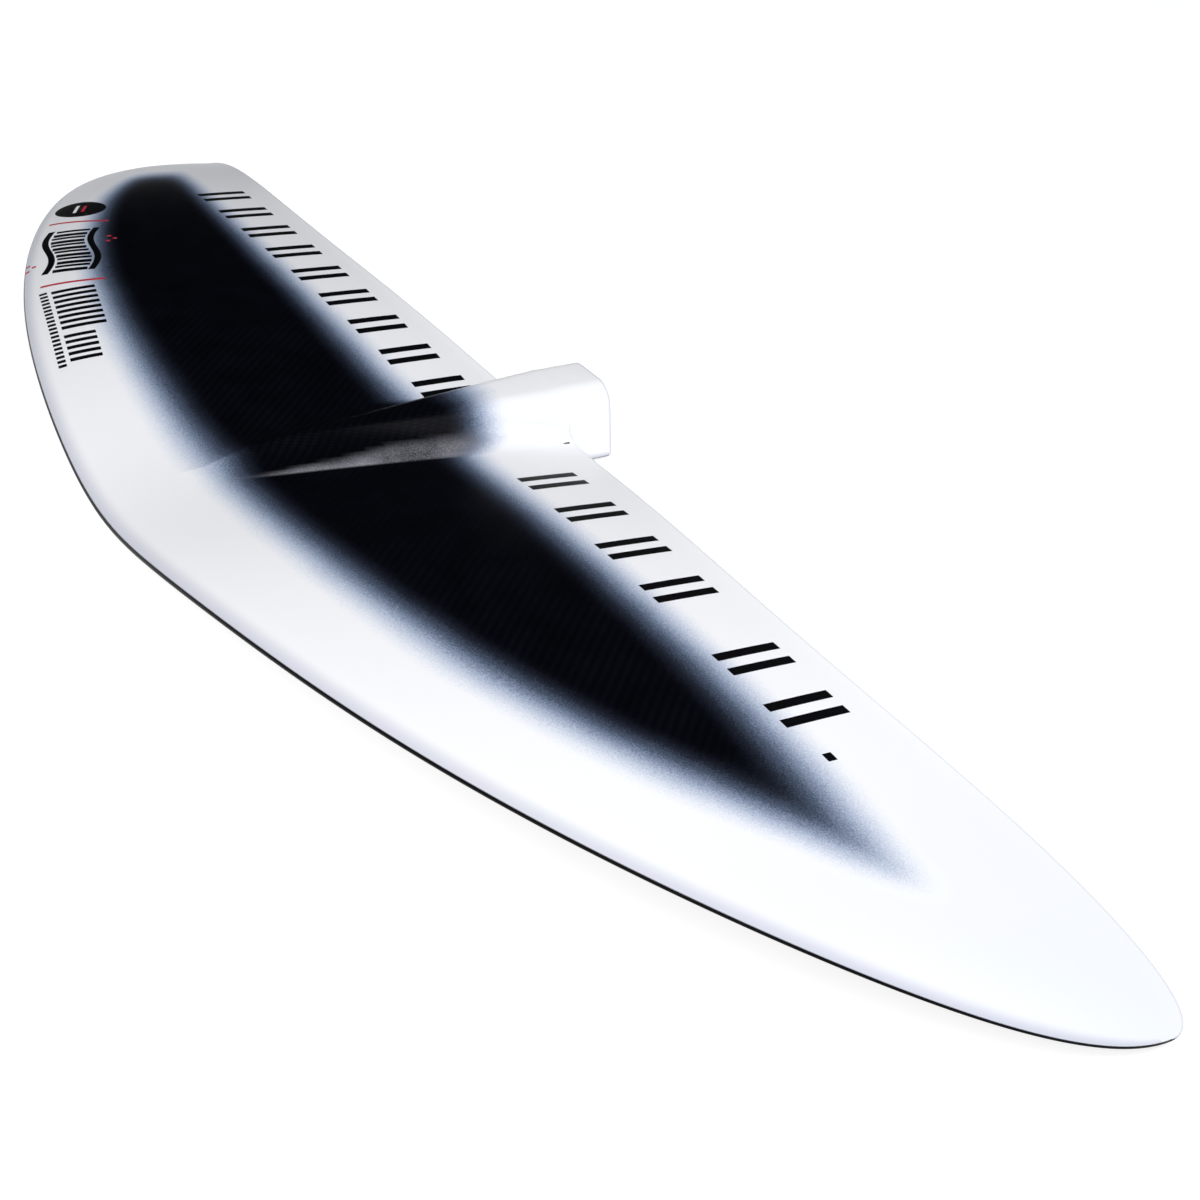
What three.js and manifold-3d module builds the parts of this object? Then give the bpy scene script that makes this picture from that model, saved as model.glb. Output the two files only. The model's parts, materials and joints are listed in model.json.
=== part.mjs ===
// A hydrofoil front wing: two bonded carbon skins over foam cores and a box spar, with a hub that
// rises along the middle and ends in a socket for the fuselage.
// Millimetres. X runs along the span (+X is the left wing), +Y points aft, +Z is up.
// The wing is drawn with its root leading edge at the origin, and lifted at the end so that the
// keel of the hub stands on Z = 0 and the middle of its length is at Y = 0.
import * as THREE from "three";
import { mergeGeometries, mergeVertices } from "three/addons/utils/BufferGeometryUtils.js";
import Module from "manifold-3d";

const wasm = await Module();
wasm.setup();

// ---- Driving dimensions ----
const HALF_SPAN = 403;
const ROOT_CHORD = 209.4;
const TIP_Y = 185; // how far behind the root leading edge the tip lies
const ROOT_THICKNESS = 0.086; // of the chord
const TIP_THICKNESS = 0.07;
const ROOT_CAMBER = 0.015; // of the chord
const TIP_CAMBER = 0.011;
const EDGE = 1.0; // thickness at the very edge

const GAP = 0.3; // clearance between bonded pieces
const SKIN = 1.2; // laminate of the wing
const HUB_SKIN = 1.6; // laminate of the hub
const SPAR = [0.28, 0.36]; // chord fractions of the spar's front and back
const CAP = 1.8; // thickness of a spar cap
const SPAR_END = 0.56; // span station where the spar and the foam stop
const TIP_BLOCK_END = 0.76;
const STRIP_END = 0.39; // span station where the trailing-edge strips stop
const BAY = 26; // half width of the bay under the hub, which holds no foam

const HUB_NOSE = 44; // where the ridge leaves the upper skin
const HUB_TOP = 22; // crown of the hub behind the wing
const CROWN_FALL = 0.02; // slope of the crown over the wing
const NOSE_DROP = 7.9; // how far the crown has come down at its nose
const HUB_TOE = 30; // half width of the hub where its fillets meet the skin
const HUB_END = 227.3; // rear face of the hub
const FLAT_END = 7.8; // half width of the flat crown at the end
const SHOULDER = 11.3; // radius between crown and wall at the end
const WALL_ANGLE = THREE.MathUtils.degToRad(80); // slope of the hub's side walls
const KEEL = 11.3; // depth of the hub's flat underside
const KEEL_NOSE = 58;
const KEEL_DROP = 5; // how far the keel has come up at its nose
const KEEL_TOE = 25.4; // half width of the keel where it meets the skin
const KEEL_SIDE = 5.8; // width of the keel's sloping side
const KEEL_ANGLE = THREE.MathUtils.degToRad(85);
const KEEL_RADIUS = 3;
const WING_BACK = 205.3; // where the hub's fillets end, at the trailing edge
const BLOCK_FRONT = 78; // where the hub turns hollow to take its block
const FAR = 60; // farther than any height of the wing

const SOCKET = { width: 22, height: 17, depth: 56, centre: 3.7, corner: 3, wall: 2 };
const SCREW_Y = [187, 211];
const SCREW = { hole: 3.3, head: 6.3, sink: 3.2, bush: 7.5 };

const CHORD_STEPS = 14;
const lerp = THREE.MathUtils.lerp;
const clamp = THREE.MathUtils.clamp;
const steps = (from, to, count) =>
  Array.from({ length: count + 1 }, (_, i) => lerp(from, to, i / count));
const cosineSteps = (count) => steps(0, Math.PI, count).map((a) => (1 - Math.cos(a)) / 2);

// ---- Shape of the wing ----
// A station t runs from 0 at the root to 1 at the tip. It is bunched towards the tip like the
// angle of a circle, which rounds the tip off.
const spanAt = (t) => HALF_SPAN * Math.sin((t * Math.PI) / 2);
const stationAt = (x) => (2 / Math.PI) * Math.asin(clamp(Math.abs(x) / HALF_SPAN, 0, 1));
const leading = (t) => t * t * (279.6 - 9.4 * t + (TIP_Y - 270.2) * t * t);
const trailing = (t) => {
  const last = TIP_Y - ROOT_CHORD - 136.3;
  return ROOT_CHORD + t * (-99.4 + t * (82 + t * (153.7 + t * last)));
};

// Every piece takes its stations from this list, so that neighbours bend at the same places.
const BAY_STATION = stationAt(BAY + GAP);
const STATIONS = [
  ...steps(0, BAY_STATION, 3),
  ...steps(BAY_STATION, SPAR_END, 9).slice(1),
  ...steps(SPAR_END, TIP_BLOCK_END, 3).slice(1),
  ...steps(TIP_BLOCK_END, 1, 6).slice(1),
];
const between = (from, to) => STATIONS.filter((t) => t > from - 1e-6 && t < to + 1e-6);
const mirrored = (to) => [...between(1e-3, to).map((t) => -t).reverse(), ...between(0, to)];

// Height of the edges: level under the hub, arched at mid-span, with the tips turned down.
function edgeHeight(x) {
  const u = Math.abs(x) / HALF_SPAN;
  const bend = 0.147;
  const rise = 0.698 * (Math.hypot(u, bend) - bend);
  return HALF_SPAN * (rise - u * u * (1.546 - 1.703 * u + 0.779 * u * u));
}

// The section at station t, with the four-digit aerofoil formulas.
function section(t, s) {
  const x = spanAt(t);
  const chord = trailing(t) - leading(t);
  const share = Math.abs(x) / HALF_SPAN;
  const thick = lerp(ROOT_THICKNESS, TIP_THICKNESS, share);
  const camber = lerp(ROOT_CAMBER, TIP_CAMBER, share);
  const round = 0.2969 * Math.sqrt(s) - 0.126 * s;
  const half = 5 * thick * (round - s * s * (0.3516 - 0.2843 * s + 0.1036 * s * s));
  const peak = 0.4;
  const side = s < peak ? peak : 1 - peak;
  const crest = camber * (1 - ((s - peak) / side) ** 2);
  return {
    y: leading(t) + s * chord,
    mid: edgeHeight(x) + chord * crest,
    half: Math.max(chord * half, EDGE / 2),
  };
}

// The same section looked up by place; behind the trailing edge it stays as it is there.
function sectionAt(x, y) {
  const t = stationAt(x);
  const s = clamp((y - leading(t)) / (trailing(t) - leading(t)), 0, 1);
  return section(t, s);
}
const topAt = (x, y) => sectionAt(x, y).mid + sectionAt(x, y).half;
const bottomAt = (x, y) => sectionAt(x, y).mid - sectionAt(x, y).half;

// ---- Solids ----
function solidOf(geometry) {
  const bare = geometry.index ? geometry.toNonIndexed() : geometry.clone();
  for (const name of Object.keys(bare.attributes)) {
    if (name !== "position") bare.deleteAttribute(name);
  }
  const merged = mergeVertices(bare, 1e-4);
  const all = merged.index.array;
  const kept = [];
  for (let i = 0; i < all.length; i += 3) {
    const [a, b, c] = [all[i], all[i + 1], all[i + 2]];
    if (a !== b && b !== c && c !== a) kept.push(a, b, c);
  }
  return new wasm.Manifold(
    new wasm.Mesh({
      numProp: 3,
      vertProperties: merged.attributes.position.array,
      triVerts: new Uint32Array(kept),
    }),
  );
}

// Collects faces by vertex number and turns them into a solid.
function faceList() {
  const index = [];
  const quad = (a, b, c, d) => index.push(a, b, c, a, c, d);
  const close = (position) => {
    const geometry = new THREE.BufferGeometry();
    geometry.setAttribute("position", new THREE.Float32BufferAttribute(position, 3));
    geometry.setIndex(index);
    return solidOf(geometry);
  };
  return { quad, close };
}

// A closed skin through rings of points. A ring is a list of [x, y, z]: a curve from right to
// left and then the same number of points back again, so that a strip of faces closes each end.
function loft(rings) {
  const { quad, close } = faceList();
  const count = rings[0].length;
  const last = (rings.length - 1) * count;
  for (let i = 0; i + 1 < rings.length; i++) {
    for (let j = 0; j < count; j++) {
      const a = i * count + j;
      const b = i * count + ((j + 1) % count);
      quad(a, a + count, b + count, b);
    }
  }
  for (let j = 0; j + 1 < count / 2; j++) {
    const back = count - 1 - j;
    quad(j, j + 1, back - 1, back);
    quad(last + j + 1, last + j, last + back, last + back - 1);
  }
  return close(rings.flat(2));
}

// A solid between two height functions, over the patch of the wing given by stations and
// chord fractions. A station of the other wing is negative.
function slab(stations, fractions, high, low) {
  const at = (t, s, height) => {
    const place = section(Math.abs(t), s);
    return [Math.sign(t) * spanAt(Math.abs(t)), place.y, height(place)];
  };
  const rows = stations.map((t) => {
    const across = typeof fractions === "function" ? fractions(Math.abs(t)) : fractions;
    return { t, across };
  });
  const count = rows[0].across.length;
  const position = [];
  for (const { t, across } of rows) {
    for (const s of across) position.push(...at(t, s, high));
    for (const s of across) position.push(...at(t, s, low));
  }
  const { quad, close } = faceList();
  const row = 2 * count;
  const last = (rows.length - 1) * row;
  for (let i = 0; i + 1 < rows.length; i++) {
    const here = i * row;
    const next = here + row;
    for (let j = 0; j + 1 < count; j++) {
      quad(here + j, next + j, next + j + 1, here + j + 1);
      quad(here + count + j, here + count + j + 1, next + count + j + 1, next + count + j);
    }
    quad(here, here + count, next + count, next);
    quad(here + count - 1, next + count - 1, next + row - 1, here + row - 1);
  }
  for (let j = 0; j + 1 < count; j++) {
    quad(j, j + 1, count + j + 1, count + j);
    quad(last + j, last + count + j, last + count + j + 1, last + j + 1);
  }
  return close(position);
}

// A section drawn in X and Z, pushed along Y from one place to another.
function prism(shape, from, to) {
  const geometry = new THREE.ExtrudeGeometry(shape, {
    depth: to - from,
    bevelEnabled: false,
    curveSegments: 6,
  });
  return solidOf(geometry.rotateX(Math.PI / 2).translate(0, to, 0));
}

// ---- Shape of the hub ----
// Heights of the crown and the keel above and below the root edges.
const crownAt = (y) => {
  const nose = NOSE_DROP * Math.exp((HUB_NOSE - y) / 22);
  return HUB_TOP - CROWN_FALL * Math.max(WING_BACK - y, 0) - nose;
};
const keelAt = (y) => -KEEL + KEEL_DROP * Math.exp((KEEL_NOSE - y) / 12);
const toeAt = (y) => {
  const taper = 4.5 * clamp((y - 175) / 30, 0, 1) ** 2;
  return HUB_TOE * clamp((y - HUB_NOSE) / 100, 0.001, 1) ** 0.23 - taper;
};
const keelToeAt = (y) => KEEL_TOE * clamp((y - KEEL_NOSE) / 80, 0.004, 1) ** 0.35;

const LEAST_RISE = 0.15; // keeps the hub's surface apart from the wing's
const RIDGE = 0.1; // half width of the sharp ridge at the nose

// Half of a section from the crown to the toe: a flat, a rounded shoulder, a wall where the
// side is steep enough to need one, and a hollow fillet. Returns [x, drop, slope] points.
function flank(rise, flat, toe, shoulder, steepest) {
  const width = toe - flat;
  const angle = Math.min(steepest, 2 * Math.atan(rise / width));
  const both = width / Math.sin(angle);
  const radius = shoulder * both;
  const cos = Math.cos(angle);
  const sin = Math.sin(angle);
  // The wall and the fillet share what the shoulder leaves of the width and of the rise.
  const restWidth = width - radius * sin;
  const restRise = rise - radius * (1 - cos);
  const wall = (restRise * sin - restWidth * (1 - cos)) / (sin * sin - cos * (1 - cos));
  const fillet = (restWidth - wall * cos) / sin;
  const points = [[0, 0, 0]];
  for (const a of steps(0, angle, 4)) {
    points.push([flat + radius * Math.sin(a), radius * (1 - Math.cos(a)), a]);
  }
  for (const a of steps(angle, 0, 4)) {
    points.push([toe - fillet * Math.sin(a), rise - fillet * (1 - Math.cos(a)), a]);
  }
  return points;
}

// The upper half of the hub over the wing, set in by a wall thickness; it reaches down to base.
function upperHub(from, to, inset, base) {
  const rings = steps(from, to, 12).map((y) => {
    const rise = Math.max(crownAt(y) - topAt(0, y), LEAST_RISE);
    const flat = lerp(RIDGE, FLAT_END, clamp((y - 85) / 120, 0, 1));
    const shoulder = 0.03 + 0.602 * clamp((y - 50) / 155, 0, 1) ** 2;
    const half = flank(rise, flat, toeAt(y), shoulder, WALL_ANGLE).map(([x, drop, slope]) => [
      Math.max(x - inset * Math.sin(slope), 0),
      topAt(x, y) + rise - drop - inset * Math.cos(slope),
    ]);
    return ringOf(half, y, base);
  });
  return loft(rings);
}

// The lower half of the hub, in the same way, upside down.
function lowerHub(from, to, inset, base) {
  const rings = steps(from, to, 12).map((y) => {
    const fall = Math.max(bottomAt(0, y) - keelAt(y), LEAST_RISE);
    const toe = keelToeAt(y);
    const flat = lerp(RIDGE, toe - KEEL_SIDE, clamp((y - KEEL_NOSE) / 60, 0, 1));
    const half = flank(fall, flat, toe, 0.52, KEEL_ANGLE).map(([x, rise, slope]) => [
      Math.max(x - inset * Math.sin(slope), 0),
      bottomAt(x, y) - fall + rise + inset * Math.cos(slope),
    ]);
    return ringOf(half, y, base).reverse();
  });
  return loft(rings);
}

// Mirrors half a section and closes it at the base height, which may depend on the place.
function ringOf(half, y, base) {
  const right = half.slice(1).reverse();
  const curve = [...right.map(([x, z]) => [x, y, z]), ...half.map(([x, z]) => [-x, y, z])];
  const closing = curve.map(([x]) => [x, y, base(x, y)]).reverse();
  return [...curve, ...closing];
}

// The hub's section behind the wing, set in by a wall thickness.
function tailShape(inset) {
  const radius = SHOULDER - inset;
  const shoulder = { x: FLAT_END, z: HUB_TOP - inset - radius };
  const sin = Math.sin(WALL_ANGLE);
  const cos = Math.cos(WALL_ANGLE);
  const top = { x: shoulder.x + radius * sin, z: shoulder.z + radius * cos };
  const low = Math.max(KEEL_RADIUS - inset, 0.5);
  const lowZ = inset - KEEL + low;
  // The wall leans out at a constant slope down to the small radius at the keel.
  const wallEnd = lowZ + low * cos;
  const wallX = top.x + ((top.z - wallEnd) * cos) / sin;
  const lowX = wallX - low * sin;
  const shape = new THREE.Shape();
  shape.moveTo(lowX, inset - KEEL);
  shape.absarc(lowX, lowZ, low, -Math.PI / 2, Math.PI / 2 - WALL_ANGLE, false);
  shape.absarc(shoulder.x, shoulder.z, radius, Math.PI / 2 - WALL_ANGLE, Math.PI / 2, false);
  shape.absarc(-shoulder.x, shoulder.z, radius, Math.PI / 2, Math.PI / 2 + WALL_ANGLE, false);
  shape.absarc(-lowX, lowZ, low, Math.PI / 2 + WALL_ANGLE, (3 * Math.PI) / 2, false);
  shape.closePath();
  return shape;
}

function roundedRectangle(width, height, radius, centre) {
  const [w, h] = [width / 2 - radius, height / 2 - radius];
  const shape = new THREE.Shape();
  shape.absarc(w, centre + h, radius, 0, Math.PI / 2, false);
  shape.absarc(-w, centre + h, radius, Math.PI / 2, Math.PI, false);
  shape.absarc(-w, centre - h, radius, Math.PI, 1.5 * Math.PI, false);
  shape.absarc(w, centre - h, radius, 1.5 * Math.PI, 2 * Math.PI, false);
  shape.closePath();
  return shape;
}

// Everything on one side of the sheet where the two skins meet, near the hub's tail.
function sideOfParting(up) {
  const far = up ? FAR : -FAR;
  const rings = steps(190, 240, 5).map((y) => {
    const across = steps(BAY + 10, -BAY - 10, 12);
    const sheet = across.map((x) => [x, y, sectionAt(x, y).mid + (up ? GAP : -GAP) / 2]);
    const away = across.map((x) => [x, y, far]).reverse();
    const ring = [...sheet, ...away];
    return up ? ring.reverse() : ring;
  });
  return loft(rings);
}

// ---- Sub-parts ----
const DEEP = () => -FAR;
const HIGH = () => FAR;
const TAIL_FRONT = WING_BACK - 1.3;
const BEYOND = 5; // how far a cut runs past the rear face

function screwHoles(radius) {
  const length = 20;
  const holes = SCREW_Y.map((y) =>
    new THREE.CylinderGeometry(radius, radius, length, 24)
      .rotateX(Math.PI / 2)
      .translate(0, y, SOCKET.centre - SOCKET.height / 2 + 1 - length / 2),
  );
  return holes.map(solidOf);
}

function upperSkin() {
  const inner = ({ mid, half }) => mid + Math.max(half - SKIN, GAP / 2);
  const wing = slab(mirrored(1), cosineSteps(CHORD_STEPS), ({ mid, half }) => mid + half, inner);
  const ridge = upperHub(HUB_NOSE, WING_BACK, 0, (x, y) => topAt(x, y) - 0.4);
  const tail = prism(tailShape(0), TAIL_FRONT, HUB_END).intersect(sideOfParting(true));
  const hollow = upperHub(BLOCK_FRONT, WING_BACK, HUB_SKIN, DEEP);
  const tailHollow = prism(tailShape(HUB_SKIN), TAIL_FRONT, HUB_END + BEYOND);
  return wing.add(ridge).add(tail).subtract(hollow).subtract(tailHollow);
}

function lowerSkin() {
  const inner = ({ mid, half }) => mid - Math.max(half - SKIN, GAP / 2);
  const wing = slab(mirrored(1), cosineSteps(CHORD_STEPS), inner, ({ mid, half }) => mid - half);
  const keel = lowerHub(KEEL_NOSE, WING_BACK, 0, (x, y) => bottomAt(x, y) + 0.4);
  const tail = prism(tailShape(0), TAIL_FRONT, HUB_END).intersect(sideOfParting(false));
  const hollow = lowerHub(BLOCK_FRONT, WING_BACK, HUB_SKIN, HIGH);
  const tailHollow = prism(tailShape(HUB_SKIN), TAIL_FRONT, HUB_END + BEYOND);
  let skin = wing.add(keel).add(tail).subtract(hollow).subtract(tailHollow);
  for (const hole of screwHoles(SCREW.bush + GAP)) skin = skin.subtract(hole);
  return skin;
}

const within = (extra) => ({
  high: ({ mid, half }) => mid + half - SKIN - GAP - extra,
  low: ({ mid, half }) => mid - half + SKIN + GAP + extra,
});

function sparCap(up) {
  const inside = within(0);
  const beyond = within(CAP);
  const across = steps(...SPAR, 2);
  return up
    ? slab(mirrored(SPAR_END), across, inside.high, beyond.high)
    : slab(mirrored(SPAR_END), across, beyond.low, inside.low);
}

function sparWeb() {
  const inside = within(CAP + GAP);
  return slab(mirrored(SPAR_END), steps(...SPAR, 2), inside.high, inside.low);
}

// A piece of one wing over some stations; side is 1 on the left and -1 on the right.
function wingPiece(side, stations, fractions, extra = 0) {
  const inside = within(extra);
  const ordered = side > 0 ? stations : stations.map((t) => -t).reverse();
  return slab(ordered, fractions, inside.high, inside.low);
}

const FOAM_STATIONS = between(BAY_STATION, SPAR_END);
const CHORD_GAP = 0.004; // chord fraction between neighbours
const STRIP_BACK = 0.1;
const REAR_CORE_BACK = 0.8;

function leadingEdgeStrip(side) {
  const front = (t) => 0.012 + 0.018 * (t / SPAR_END);
  const across = (t) => steps(front(t), STRIP_BACK - CHORD_GAP, 3);
  return wingPiece(side, FOAM_STATIONS, across, 0.2);
}

function frontCore(side) {
  return wingPiece(side, FOAM_STATIONS, steps(STRIP_BACK, SPAR[0] - CHORD_GAP, 3));
}

function rearCore(side) {
  return wingPiece(side, FOAM_STATIONS, steps(SPAR[1] + CHORD_GAP, REAR_CORE_BACK, 5));
}

function trailingEdgeStrip(side) {
  const back = (t) => 0.92 - 0.06 * (t / STRIP_END);
  const across = (t) => steps(REAR_CORE_BACK + CHORD_GAP, back(t), 2);
  return wingPiece(side, between(BAY_STATION, STRIP_END), across);
}

function tipBlock(side) {
  const taper = (t) => (t - SPAR_END) / (TIP_BLOCK_END - SPAR_END);
  const across = (t) => steps(lerp(0.06, 0.16, taper(t)), lerp(0.76, 0.6, taper(t)), 4);
  const stations = [SPAR_END + CHORD_GAP, ...between(SPAR_END, TIP_BLOCK_END).slice(1)];
  return wingPiece(side, stations, across);
}

function hubNoseCore() {
  const inside = within(0);
  const edge = stationAt(BAY);
  const middle = mirrored(BAY_STATION).slice(1, -1);
  const across = steps(0.02, SPAR[0] - CHORD_GAP, 4);
  return slab([-edge, ...middle, edge], across, inside.high, inside.low);
}

function hubBlock() {
  const clear = HUB_SKIN + GAP;
  const front = BLOCK_FRONT + GAP;
  const tail = prism(tailShape(clear), TAIL_FRONT + GAP, HUB_END);
  const above = upperHub(front, WING_BACK, clear, DEEP).add(tail);
  const below = lowerHub(front, WING_BACK, clear, HIGH).add(tail);
  // In plan the block keeps clear of the cores in front, and draws in where the skins close up.
  const half = [
    [19, front],
    [BAY - 4, 175],
    [FLAT_END + 8, 196],
    [FLAT_END + 14, HUB_END + 1],
  ];
  const around = [...half, ...half.map(([x, y]) => [-x, y]).reverse()];
  const plan = new THREE.Shape(around.map(([x, y]) => new THREE.Vector2(x, y)));
  const column = new THREE.ExtrudeGeometry(plan, { depth: 2 * FAR, bevelEnabled: false });
  const outline = solidOf(column.translate(0, 0, -FAR));
  const grow = 2 * (SOCKET.wall + GAP);
  const bed = roundedRectangle(
    SOCKET.width + grow,
    SOCKET.height + grow,
    SOCKET.corner + SOCKET.wall + GAP,
    SOCKET.centre,
  );
  const bedFront = HUB_END - SOCKET.depth - SOCKET.wall - GAP;
  let block = above.intersect(below).intersect(outline).subtract(prism(bed, bedFront, HUB_END + BEYOND));
  for (const hole of screwHoles(SCREW.bush + GAP)) block = block.subtract(hole);
  return block;
}

function fuselageSocket() {
  const { width, height, depth, centre, corner, wall } = SOCKET;
  const outer = roundedRectangle(width + 2 * wall, height + 2 * wall, corner + wall, centre);
  const sleeve = prism(outer, HUB_END - depth - wall, HUB_END);
  const opening = roundedRectangle(width, height, corner, centre);
  const bore = prism(opening, HUB_END - depth, HUB_END + BEYOND);
  let socket = sleeve.subtract(bore);
  for (const hole of screwHoles(SCREW.bush + GAP)) socket = socket.subtract(hole);
  return socket;
}

// A turned bush with a seat for a countersunk screw, flush with the keel and the socket floor.
function screwBush(y) {
  const foot = -KEEL;
  const head = SOCKET.centre - SOCKET.height / 2;
  const profile = [
    [SCREW.head, foot],
    [SCREW.bush, foot],
    [SCREW.bush, head],
    [SCREW.hole, head],
    [SCREW.hole, foot + SCREW.sink],
    [SCREW.head, foot],
  ].map(([r, z]) => new THREE.Vector2(r, z));
  return solidOf(new THREE.LatheGeometry(profile, 32).rotateX(Math.PI / 2).translate(0, y, 0));
}

// ---- Materials ----
const finish = (color, roughness, metalness) =>
  new THREE.MeshStandardMaterial({ color, roughness, metalness });
const FINISH = {
  whitePaint: finish(0xe9ecf2, 0.3, 0),
  blackPaint: finish(0x0b0c10, 0.3, 0),
  carbon: finish(0x15171b, 0.4, 0.1),
  foam: finish(0xd9c9a3, 0.9, 0),
  filler: finish(0x3a3d42, 0.7, 0),
  stainless: finish(0xc4c6c8, 0.3, 1),
};

// ---- Assembly ----
const wing = new THREE.Group();
wing.position.set(0, -HUB_END / 2, KEEL);

function place(name, solid, material) {
  const { vertProperties, triVerts, numProp } = solid.getMesh();
  const interleaved = new THREE.InterleavedBuffer(vertProperties, numProp);
  const geometry = new THREE.BufferGeometry();
  geometry.setAttribute("position", new THREE.InterleavedBufferAttribute(interleaved, 3, 0));
  geometry.setIndex(new THREE.BufferAttribute(triVerts, 1));
  const mesh = new THREE.Mesh(mergeGeometries([geometry]), material);
  mesh.name = name;
  wing.add(mesh);
}

place("upper_skin", upperSkin(), FINISH.whitePaint);
place("lower_skin", lowerSkin(), FINISH.blackPaint);
place("upper_spar_cap", sparCap(true), FINISH.carbon);
place("lower_spar_cap", sparCap(false), FINISH.carbon);
place("spar_web", sparWeb(), FINISH.carbon);
for (const [name, side] of [["left", 1], ["right", -1]]) {
  place(`${name}_leading_edge_strip`, leadingEdgeStrip(side), FINISH.filler);
  place(`${name}_front_core`, frontCore(side), FINISH.foam);
  place(`${name}_rear_core`, rearCore(side), FINISH.foam);
  place(`${name}_trailing_edge_strip`, trailingEdgeStrip(side), FINISH.filler);
  place(`${name}_tip_block`, tipBlock(side), FINISH.filler);
}
place("hub_nose_core", hubNoseCore(), FINISH.foam);
place("hub_block", hubBlock(), FINISH.filler);
place("fuselage_socket", fuselageSocket(), FINISH.carbon);
place("front_screw_bush", screwBush(SCREW_Y[0]), FINISH.stainless);
place("rear_screw_bush", screwBush(SCREW_Y[1]), FINISH.stainless);

const group = new THREE.Group();
group.add(wing);
export default group;
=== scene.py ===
"""A hydrofoil front wing, painted white with an airbrushed carbon window, on a pale studio floor.

Lengths in the shape formulas are in millimetres, measured from the root leading edge, as the wing is
drawn: X along the span, Y aft, Z up. in_frame() takes them to the frame's metres.
"""
import json
import math

import bmesh
import bpy
import numpy as np
from mathutils import Matrix, Vector


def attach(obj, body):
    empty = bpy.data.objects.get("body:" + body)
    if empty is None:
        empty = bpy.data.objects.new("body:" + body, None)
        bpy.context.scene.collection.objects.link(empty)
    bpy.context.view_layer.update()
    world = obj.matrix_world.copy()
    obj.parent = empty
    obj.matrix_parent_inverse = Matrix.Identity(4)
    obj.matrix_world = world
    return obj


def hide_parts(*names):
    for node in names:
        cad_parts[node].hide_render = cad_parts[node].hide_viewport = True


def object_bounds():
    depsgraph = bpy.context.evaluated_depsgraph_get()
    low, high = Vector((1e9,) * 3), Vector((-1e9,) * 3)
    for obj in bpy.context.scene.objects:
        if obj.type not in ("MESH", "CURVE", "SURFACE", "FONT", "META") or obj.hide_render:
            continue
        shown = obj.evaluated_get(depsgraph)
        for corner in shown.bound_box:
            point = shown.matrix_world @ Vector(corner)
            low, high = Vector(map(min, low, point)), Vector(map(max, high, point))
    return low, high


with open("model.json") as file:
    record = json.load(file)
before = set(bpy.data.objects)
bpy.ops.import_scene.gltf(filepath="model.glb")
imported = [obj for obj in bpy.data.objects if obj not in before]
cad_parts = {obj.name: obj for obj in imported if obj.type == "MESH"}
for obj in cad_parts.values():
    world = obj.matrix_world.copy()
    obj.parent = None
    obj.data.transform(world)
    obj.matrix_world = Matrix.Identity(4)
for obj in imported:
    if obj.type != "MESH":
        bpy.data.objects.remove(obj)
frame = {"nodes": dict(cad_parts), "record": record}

CAD_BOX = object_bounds()
MM = 0.001
LOW, HIGH = (np.array(corner) / MM for corner in CAD_BOX)

# ---- Driving dimensions ----
HALF_SPAN = HIGH[0]
HUB_END = HIGH[1] - LOW[1]  # rear face of the hub
ROOT_CHORD = 209.4
TIP_Y = 185.0  # how far behind the root leading edge the tip lies
ROOT_THICKNESS, TIP_THICKNESS = 0.086, 0.07  # of the chord
ROOT_CAMBER, TIP_CAMBER = 0.015, 0.011  # of the chord
CAMBER_PEAK = 0.4  # chord fraction where the section is most arched
EDGE = 1.0  # thickness of the edges
SKIN, HUB_SKIN = 1.2, 1.6  # laminate of the wing and of the hub
THINNEST = 0.15  # least half thickness of the hollow inside the skins

HUB_NOSE = 44.0  # where the ridge leaves the upper skin
HUB_TOP = 22.0  # crown of the hub behind the wing
CROWN_FALL = 0.02  # slope of the crown over the wing
NOSE_DROP = 7.9  # how far the crown has come down at its nose
HUB_TOE = 30.0  # half width of the hub where its fillets meet the skin
FLAT_END = 7.8  # half width of the flat crown at the end
RIDGE = 0.1  # half width of the flat where the ridge and the keel begin
RIDGE_START = 0.1  # how far the crown and the keel stand off the skins where they set in
SHOULDER_RADIUS = 11.3  # between crown and wall at the end
WALL_ANGLE = math.radians(80)
KEEL = 11.3  # depth of the hub's flat underside
KEEL_NOSE = 58.0
KEEL_DROP = 5.0  # how far the keel has come up at its nose
KEEL_TOE = 25.4  # half width of the keel where it meets the skin
KEEL_SIDE = 5.8  # width of the keel's sloping side
KEEL_ANGLE = math.radians(85)
KEEL_SHOULDER = 0.52  # share of the side's width taken by its rounded shoulder
CORNER = 3.0  # radius between keel and wall at the end
WING_BACK = 205.3  # where the hub's fillets end, at the trailing edge
BLOCK_FRONT = 78.0  # where the hub turns hollow to take its block
TAIL_FRONT = WING_BACK - 1.3  # behind this, the inside follows the tail's section
SCREW_Y = (187.0, 211.0)
SCREW_RECESS = 7.8  # radius of the openings round the screw bushes
END_ROUND = 0.7  # radius of the hub's rear edge

WING_COLUMNS = 110
TAIL_ROWS = 7
ARC_STEPS = 12


def in_frame(points):
    """Millimetres from the root leading edge to metres in the frame, no higher than the solids."""
    placed = np.asarray(points, float) + [0, -HUB_END / 2, KEEL]
    return np.minimum(placed, HIGH) * MM


def ramp(value, start, length):
    """0 before the start, 1 a length after it."""
    return np.clip((value - start) / length, 0, 1)


# ---- Shape of the wing, the same formulas as the solids ----
# A station t runs from 0 at the root to 1 at the tip, bunched towards the tip like an angle.
def span_at(t):
    return HALF_SPAN * np.sin(t * np.pi / 2)


def station_at(x):
    return 2 / np.pi * np.arcsin(np.clip(np.abs(x) / HALF_SPAN, 0, 1))


def leading(t):
    return t * t * (279.6 - 9.4 * t + (TIP_Y - 270.2) * t * t)


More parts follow.
